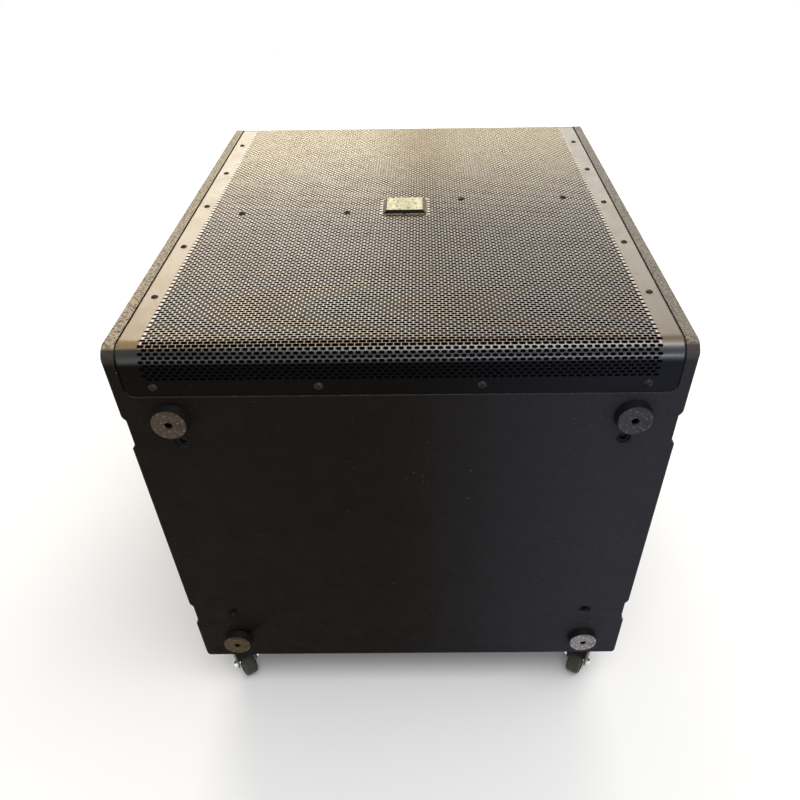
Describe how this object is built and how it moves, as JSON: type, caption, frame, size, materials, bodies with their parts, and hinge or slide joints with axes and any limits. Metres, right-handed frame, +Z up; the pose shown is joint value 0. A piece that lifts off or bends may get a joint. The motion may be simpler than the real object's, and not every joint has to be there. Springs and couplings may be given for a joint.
{
  "type": "subwoofer cabinet",
  "caption": "Powered bass loudspeaker cabinet with a wrap-around perforated grille, rubber feet, pan handles, a pole socket and swivel casters on its back.",
  "frame": {"origin": "On the floor, under the middle of the bounding box, with the cabinet lying on its back on its casters.", "axes": "+Z up and out of the grille, -Y out of the cabinet's own bottom with the rubber feet, +Y out of its top, +X to the right seen from the feet."},
  "size_m": [0.607, 0.713, 0.631],
  "materials": {
    "amber_cloth": "resin-treated cloth",
    "badge_metal": "satin",
    "bare_aluminium": "satin",
    "black_plastic": "black",
    "black_steel": "black",
    "cabinet_paint": "textured black paint",
    "cast_aluminium": "black paint",
    "circuit_board": "green solder resist",
    "cloth": "treated cloth",
    "copper": "varnished copper wire",
    "ferrite": "matt",
    "foam": "open-cell acoustic foam",
    "gloss_plastic": "red",
    "grille_paint": "black powder coat",
    "paper": "treated black pulp",
    "plywood": "bare",
    "rubber": "matt, dusty",
    "wheel_rubber": "matt",
    "zinc": "zinc plated"
  },
  "bodies": {
    "cabinet": {"amp_board": "circuit_board", "amp_heatsink": "bare_aluminium", "amp_plate": "black_steel", "amp_transformer": "copper", "badge_plate": "badge_metal", "bottom_panel": "cabinet_paint", "caster_lower_left_plate": "black_steel", "caster_lower_right_plate": "black_steel", "caster_upper_left_plate": "black_steel", "caster_upper_right_plate": "black_steel", "foot_front_left": "rubber", "foot_front_right": "rubber", "foot_rear_left": "rubber", "foot_rear_right": "rubber", "front_baffle": "cabinet_paint", "grille": "grille_paint", "grille_foam": "foam", "grille_rail_left": "cabinet_paint", "grille_rail_right": "cabinet_paint", "grille_strap": "black_steel", "handle_left": "black_plastic", "handle_right": "black_plastic", "input_socket_left": "black_plastic", "input_socket_right": "black_plastic", "level_pot": "zinc", "mains_inlet": "black_plastic", "pole_socket": "black_plastic", "port_tube_left": "black_plastic", "port_tube_right": "black_plastic", "power_switch": "black_plastic", "rear_panel": "cabinet_paint", "side_panel_left": "cabinet_paint", "side_panel_right": "cabinet_paint", "speaker_cable": "black_plastic", "top_panel": "cabinet_paint", "window_brace": "plywood", "woofer_back_plate": "zinc", "woofer_basket": "cast_aluminium", "woofer_magnet": "ferrite", "woofer_spider": "amber_cloth", "woofer_surround": "cloth", "woofer_top_plate": "zinc"},
    "woofer_moving": {"woofer_cone": "paper", "woofer_dust_cap": "paper", "woofer_voice_coil": "copper"},
    "level_knob": {"level_knob": "black_plastic"},
    "power_rocker": {"power_rocker": "gloss_plastic"},
    "caster_lower_left_yoke": {"caster_lower_left_fork": "black_steel", "caster_lower_left_axle": "zinc"},
    "caster_lower_left_wheel": {"caster_lower_left_wheel": "wheel_rubber"},
    "caster_lower_right_yoke": {"caster_lower_right_fork": "black_steel", "caster_lower_right_axle": "zinc"},
    "caster_lower_right_wheel": {"caster_lower_right_wheel": "wheel_rubber"},
    "caster_upper_left_yoke": {"caster_upper_left_fork": "black_steel", "caster_upper_left_axle": "zinc"},
    "caster_upper_left_wheel": {"caster_upper_left_wheel": "wheel_rubber"},
    "caster_upper_right_yoke": {"caster_upper_right_fork": "black_steel", "caster_upper_right_axle": "zinc"},
    "caster_upper_right_wheel": {"caster_upper_right_wheel": "wheel_rubber"}
  },
  "joints": [
    {"name": "caster_lower_left_swivel", "type": "hinge", "parent": "cabinet", "child": "caster_lower_left_yoke", "pos_m": [-0.2689, -0.3039, 0.0612], "axis": [0, 0, 1], "continuous": true},
    {"name": "caster_lower_left_roll", "type": "hinge", "parent": "caster_lower_left_yoke", "child": "caster_lower_left_wheel", "pos_m": [-0.25883, -0.31882, 0.025], "axis": [0.829, 0.5592, 0], "continuous": true},
    {"name": "caster_lower_right_swivel", "type": "hinge", "parent": "cabinet", "child": "caster_lower_right_yoke", "pos_m": [0.2689, -0.3039, 0.0612], "axis": [0, 0, 1], "continuous": true},
    {"name": "caster_lower_right_roll", "type": "hinge", "parent": "caster_lower_right_yoke", "child": "caster_lower_right_wheel", "pos_m": [0.25936, -0.31916, 0.025], "axis": [0.848, -0.5299, 0], "continuous": true},
    {"name": "caster_upper_left_swivel", "type": "hinge", "parent": "cabinet", "child": "caster_upper_left_yoke", "pos_m": [-0.2689, 0.3169, 0.0612], "axis": [0, 0, 1], "continuous": true},
    {"name": "caster_upper_left_roll", "type": "hinge", "parent": "caster_upper_left_yoke", "child": "caster_upper_left_wheel", "pos_m": [-0.25301, 0.30845, 0.025], "axis": [0.4695, 0.8829, 0], "continuous": true},
    {"name": "caster_upper_right_swivel", "type": "hinge", "parent": "cabinet", "child": "caster_upper_right_yoke", "pos_m": [0.2689, 0.3169, 0.0612], "axis": [0, 0, 1], "continuous": true},
    {"name": "caster_upper_right_roll", "type": "hinge", "parent": "caster_upper_right_yoke", "child": "caster_upper_right_wheel", "pos_m": [0.25199, 0.31074, 0.025], "axis": [0.342, -0.9397, 0], "continuous": true},
    {"name": "woofer_stroke", "type": "slide", "parent": "cabinet", "child": "woofer_moving", "axis": [0, 0, 1], "range_m": [-0.01, 0.01], "stiffness_N_per_m": 8000, "deforming": ["woofer_surround", "woofer_spider"]},
    {"name": "level_knob_turn", "type": "hinge", "parent": "cabinet", "child": "level_knob", "pos_m": [0.115, 0.1215, 0.0717], "axis": [0, 0, 1], "range_deg": [-150, 150]},
    {"name": "power_rocker_tilt", "type": "hinge", "parent": "cabinet", "child": "power_rocker", "pos_m": [0.1, -0.0115, 0.0717], "axis": [1, 0, 0], "range_deg": [0, 16]}
  ]
}
